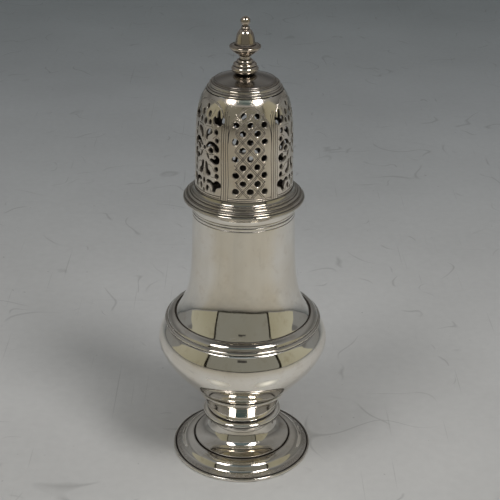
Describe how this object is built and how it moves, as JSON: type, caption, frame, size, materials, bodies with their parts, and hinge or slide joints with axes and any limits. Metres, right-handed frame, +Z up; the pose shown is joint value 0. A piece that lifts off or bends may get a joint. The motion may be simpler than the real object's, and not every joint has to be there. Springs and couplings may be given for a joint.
{
  "type": "pepper pot",
  "caption": "Baluster pepper pot in polished silver with a pierced push-fit domed cover and a turned finial, on a moulded round foot.",
  "frame": {"origin": "on the axis of the pot, at the surface the foot stands on", "axes": "+Z up along the axis of revolution, through the finial; the pictured side faces -Y, with a lattice panel of the cover 7 degrees to the right of it"},
  "size_m": [0.054, 0.054, 0.1468],
  "materials": {
    "silver_body": "hand-polished sterling silver with fine scratches and brown tarnish in the grooves",
    "silver_cover": "hand-polished sterling silver, pierced and engraved, slightly warmer and more worn",
    "silver_sleeve": "satin silver, rubbed along its length by the push fit",
    "silver_finial": "cast and turned silver, polished, tarnished in the grooves"
  },
  "bodies": {
    "pot": {"foot_rim": "silver_body", "foot_moulding": "silver_body", "foot_pedestal": "silver_body", "stem_collar": "silver_body", "bowl": "silver_body", "girdle_moulding": "silver_body", "neck": "silver_body", "body_rim": "silver_body"},
    "sleeve": {"cover_sleeve": "silver_sleeve"},
    "cover": {"cover_flange": "silver_cover", "cover_dome": "silver_cover", "cap_moulding": "silver_cover", "cap_disc": "silver_cover", "finial": "silver_finial"}
  },
  "joints": [
    {"name": "cover_lift", "type": "slide", "parent": "pot", "child": "sleeve", "axis": [0, 0, 1], "range_m": [0, 0.045]},
    {"name": "cover_turn", "type": "hinge", "parent": "sleeve", "child": "cover", "pos_m": [0, 0, 0.09], "axis": [0, 0, 1], "continuous": true}
  ]
}
